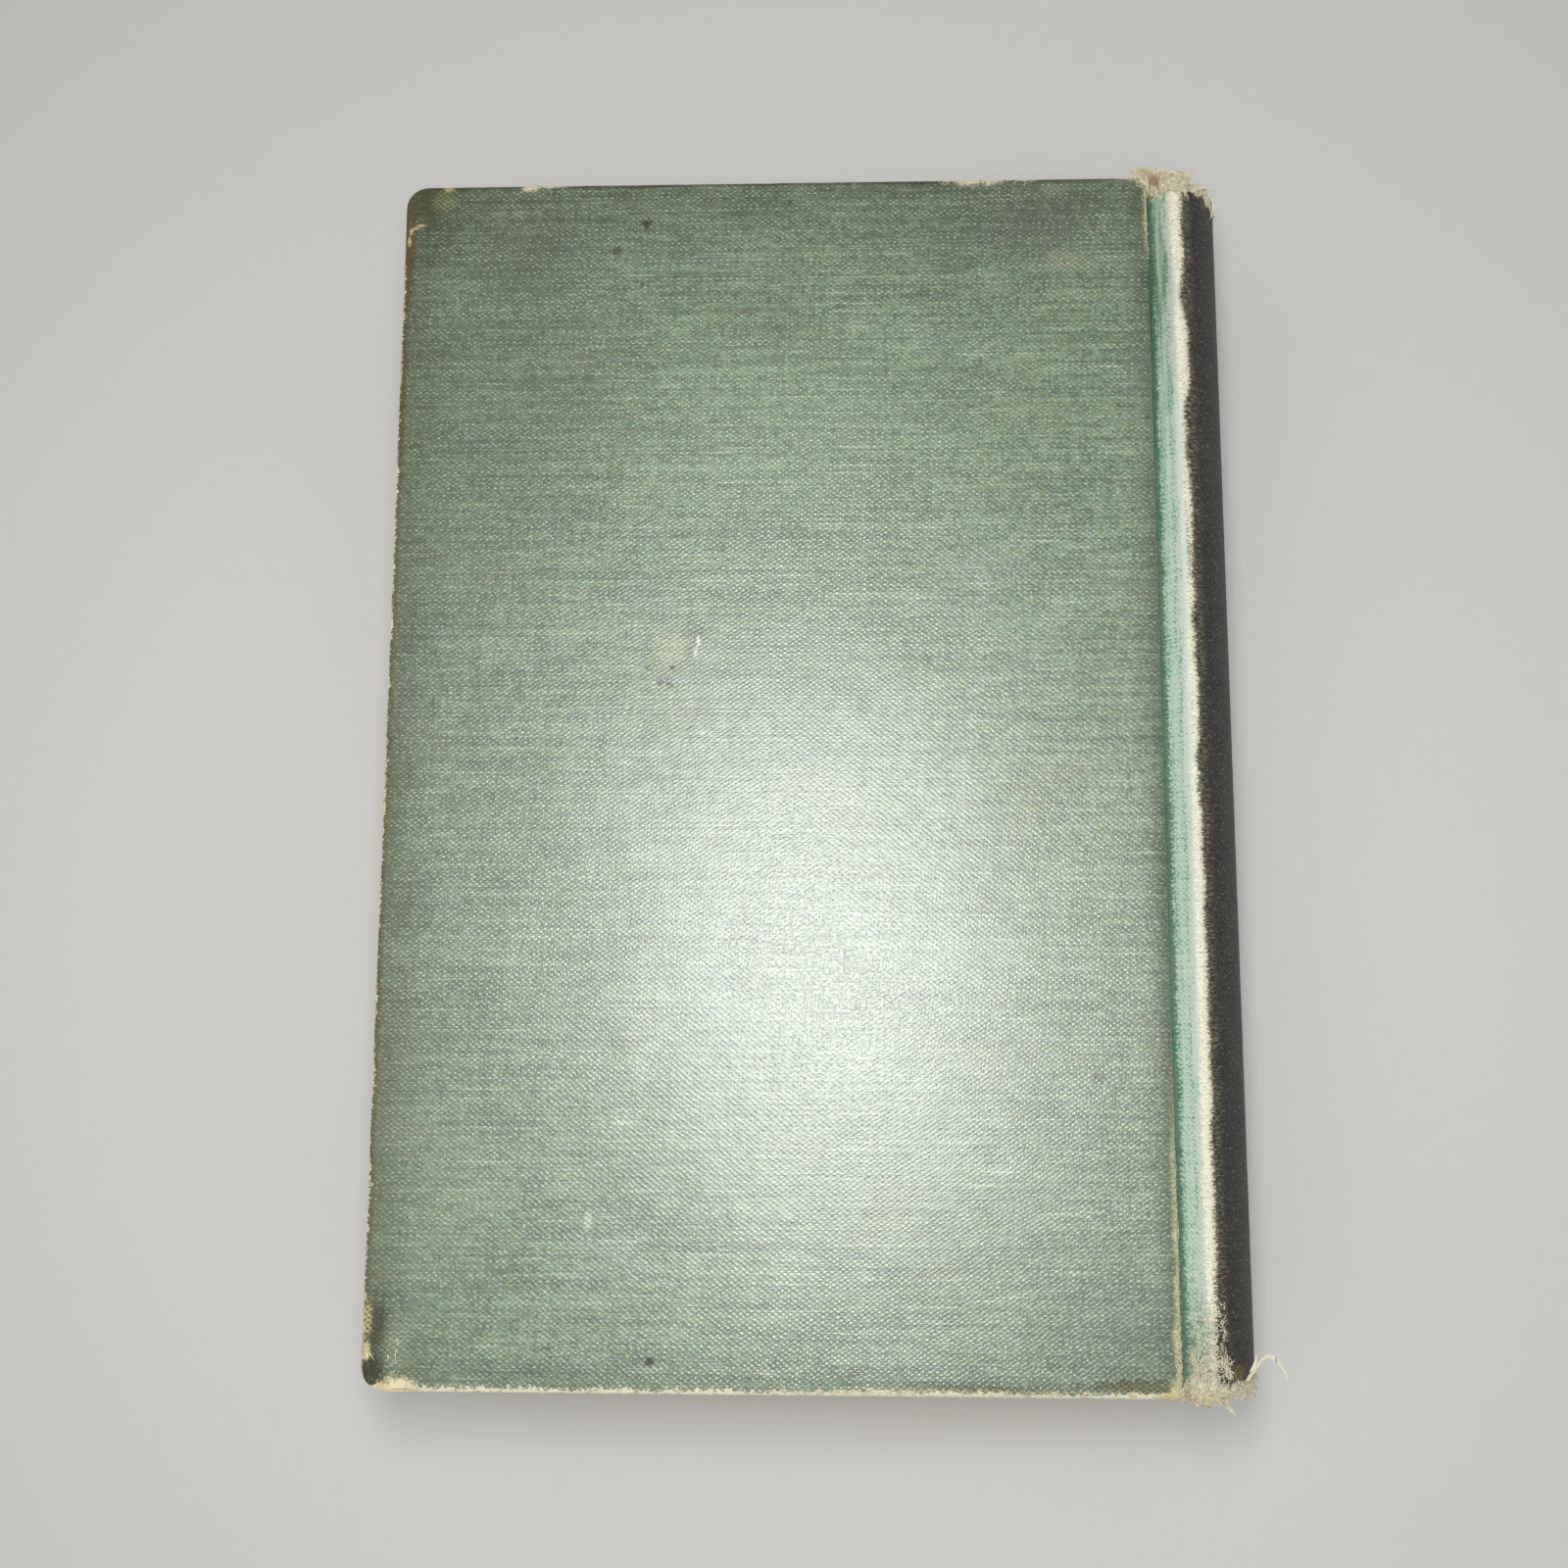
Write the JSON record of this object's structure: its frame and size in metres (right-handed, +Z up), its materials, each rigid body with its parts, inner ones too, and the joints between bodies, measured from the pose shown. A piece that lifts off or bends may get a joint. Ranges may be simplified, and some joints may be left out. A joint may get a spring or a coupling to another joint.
{
  "type": "book",
  "caption": "Worn clothbound hardback book with a rounded spine, grooved joints and hinged covers, lying closed on its front cover.",
  "frame": {"origin": "under the middle of the closed book, on the plane of the front cover's outside", "axes": "+X towards the spine, +Y towards the head, +Z up from the front cover to the back cover"},
  "size_m": [0.1356, 0.192, 0.034],
  "materials": {
    "pages": "matte",
    "endpaper": "matte",
    "gauze": "matte",
    "lining": "matte",
    "inlay": "matte",
    "spine_cloth": "matte",
    "board": "matte",
    "cover_cloth": "satin"
  },
  "bodies": {
    "text_block": {"text_block": "pages", "back_flyleaf": "endpaper", "front_flyleaf": "endpaper", "spine_gauze": "gauze", "spine_lining": "lining", "spine_inlay": "inlay", "spine_cloth": "spine_cloth"},
    "back_cover": {"back_board": "board", "back_cloth": "cover_cloth", "back_gauze_flange": "gauze", "back_pastedown": "endpaper"},
    "front_cover": {"front_board": "board", "front_cloth": "cover_cloth", "front_gauze_flange": "gauze", "front_pastedown": "endpaper"}
  },
  "joints": [
    {"name": "back_cover_hinge", "type": "hinge", "parent": "text_block", "child": "back_cover", "pos_m": [0.05885, 0, 0.03218], "axis": [0, 1, 0], "range_deg": [0, 180]},
    {"name": "front_cover_hinge", "type": "hinge", "parent": "text_block", "child": "front_cover", "pos_m": [0.05885, 0, 0.00182], "axis": [0, -1, 0], "range_deg": [0, 180]}
  ]
}
